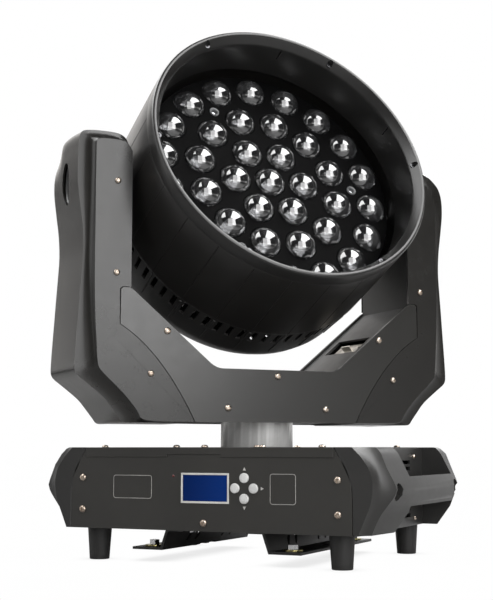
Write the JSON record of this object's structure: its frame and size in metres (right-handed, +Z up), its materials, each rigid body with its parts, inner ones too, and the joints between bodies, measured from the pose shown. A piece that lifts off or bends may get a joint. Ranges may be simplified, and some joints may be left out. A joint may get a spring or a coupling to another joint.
{
  "type": "moving head light",
  "caption": "Moving head wash light: box base with display and grips, panning U-shaped yoke, tilting barrel head with zooming lens array, vents and truss brackets.",
  "frame": {"origin": "on the floor under the pan axis, in the plane of the undersides of the four feet", "axes": "+Z up along the pan axis; the display panel faces -Y; +X to the right of a person facing the display. At rest the yoke is panned 50.95 degrees about +Z and the head points 23.55 degrees above the horizon"},
  "size_m": [0.44, 0.4432, 0.645],
  "materials": {
    "sheet_black": "satin powder coat",
    "base_sheet": "fine-texture powder coat, satin",
    "moulded_black": "fine spark texture, satin black",
    "rubber_black": "matte black rubber",
    "frame_white": "white printed frame",
    "lcd_blue": "deep blue display under clear gloss cover",
    "button_silver": "pale silver satin dome",
    "circuit_green": "solder mask",
    "bare_steel": "bare zinc-plated sheet",
    "socket_blue": "moulded socket",
    "socket_metal": "satin die-cast socket shell",
    "plastic_black": "moulded black plastic",
    "bearing_steel": "ground bearing steel",
    "tube_aluminium": "polished, fine lines along the tube",
    "pulley_aluminium": "machined aluminium",
    "motor_black": "black motor with steel ends",
    "belt_rubber": "black toothed belt",
    "bracket_black": "black folded sheet",
    "bolt_steel": "bright plated bolt",
    "zinc_yellow": "yellow zinc plate",
    "screw_steel": "nickel-plated pan head",
    "screw_dark": "black oxide screw",
    "yoke_sheet": "satin powder coat",
    "yoke_plate": "satin charcoal powder coat",
    "badge_grey": "blank satin badge",
    "barrel_black": "satin black moulding",
    "sink_aluminium": "die-cast fins",
    "board_white": "white solder mask",
    "lens_plate_black": "gloss black",
    "lens_glass": "clear polished lens"
  },
  "bodies": {
    "base": {"base_chassis": "sheet_black", "base_top_cover": "base_sheet", "front_panel": "base_sheet", "rear_panel": "base_sheet", "side_cover_left": "moulded_black", "side_cover_right": "moulded_black", "rubber_feet": "rubber_black", "display_frame": "frame_white", "lcd_module": "lcd_blue", "control_board": "circuit_green", "power_supply": "bare_steel", "driver_board": "circuit_green", "power_sockets": "socket_blue", "signal_sockets": "socket_metal", "fuse_holder": "plastic_black", "pan_bearing_plate": "bare_steel", "pan_bearing_outer": "bearing_steel", "pan_motor": "motor_black", "pan_belt": "belt_rubber", "clamp_bracket_left": "bracket_black", "clamp_bracket_right": "bracket_black", "clamp_bolts": "bolt_steel", "clamp_washers": "zinc_yellow", "safety_loop": "bracket_black", "base_screws": "screw_steel"},
    "button_up": {"button_up": "button_silver"},
    "button_down": {"button_down": "button_silver"},
    "button_left": {"button_left": "button_silver"},
    "button_right": {"button_right": "button_silver"},
    "pan_motor_shaft": {"pan_motor_pulley": "pulley_aluminium"},
    "yoke": {"pan_bearing_inner": "bearing_steel", "pan_tube": "tube_aluminium", "pan_pulley": "pulley_aluminium", "yoke_frame": "yoke_sheet", "yoke_plate_front": "yoke_plate", "yoke_plate_rear": "yoke_plate", "arm_cover_left": "moulded_black", "arm_cover_right": "moulded_black", "arm_badges": "badge_grey", "tilt_bearings": "bearing_steel", "tilt_motor": "motor_black", "tilt_belt": "belt_rubber", "yoke_board": "circuit_green", "yoke_screws": "screw_steel"},
    "tilt_motor_shaft": {"tilt_motor_pulley": "pulley_aluminium"},
    "lock_latch": {"tilt_lock_latch": "bare_steel"},
    "head": {"head_chassis": "bare_steel", "head_barrel": "barrel_black", "rim_hood": "barrel_black", "rear_cover": "barrel_black", "tilt_hubs": "tube_aluminium", "tilt_pulley": "pulley_aluminium", "heat_sink": "sink_aluminium", "led_board": "board_white", "fan_frame": "plastic_black", "zoom_motors": "motor_black", "head_screws": "screw_dark"},
    "fan": {"fan_rotor": "plastic_black"},
    "lens_carrier": {"lens_plate": "lens_plate_black", "lenses": "lens_glass"}
  },
  "joints": [
    {"name": "pan", "type": "hinge", "parent": "base", "child": "yoke", "pos_m": [0, 0, 0.105], "axis": [0, 0, 1], "range_deg": [-320.95, 219.05]},
    {"name": "tilt", "type": "hinge", "parent": "yoke", "child": "head", "pos_m": [0, 0, 0.4375], "axis": [0.63, 0.7766, 0], "range_deg": [-201.45, 68.55]},
    {"name": "zoom", "type": "slide", "parent": "head", "child": "lens_carrier", "axis": [0.7119, -0.5775, 0.3995], "range_m": [-0.022, 0.028]},
    {"name": "fan_spin", "type": "hinge", "parent": "head", "child": "fan", "pos_m": [0, 0, 0.4375], "axis": [0.7119, -0.5775, 0.3995], "continuous": true},
    {"name": "pan_motor_turn", "type": "hinge", "parent": "base", "child": "pan_motor_shaft", "pos_m": [-0.1, 0.045, 0.054], "axis": [0, 0, 1], "range_deg": [-1604.75, 1095.25]},
    {"name": "tilt_motor_turn", "type": "hinge", "parent": "yoke", "child": "tilt_motor_shaft", "pos_m": [-0.13104, -0.16153, 0.24], "axis": [0.63, 0.7766, 0], "range_deg": [-604.35, 205.65]},
    {"name": "lock_slide", "type": "slide", "parent": "yoke", "child": "lock_latch", "axis": [0.4833, 0.5958, 0.6414], "range_m": [0, 0.006]},
    {"name": "button_up_press", "type": "slide", "parent": "base", "child": "button_up", "axis": [0, 1, 0], "range_m": [0, 0.001]},
    {"name": "button_down_press", "type": "slide", "parent": "base", "child": "button_down", "axis": [0, 1, 0], "range_m": [0, 0.001]},
    {"name": "button_left_press", "type": "slide", "parent": "base", "child": "button_left", "axis": [0, 1, 0], "range_m": [0, 0.001]},
    {"name": "button_right_press", "type": "slide", "parent": "base", "child": "button_right", "axis": [0, 1, 0], "range_m": [0, 0.001]}
  ],
  "couplings": [
    {"joint": "pan_motor_turn", "follows": "pan", "ratio": 5},
    {"joint": "tilt_motor_turn", "follows": "tilt", "ratio": 3}
  ]
}
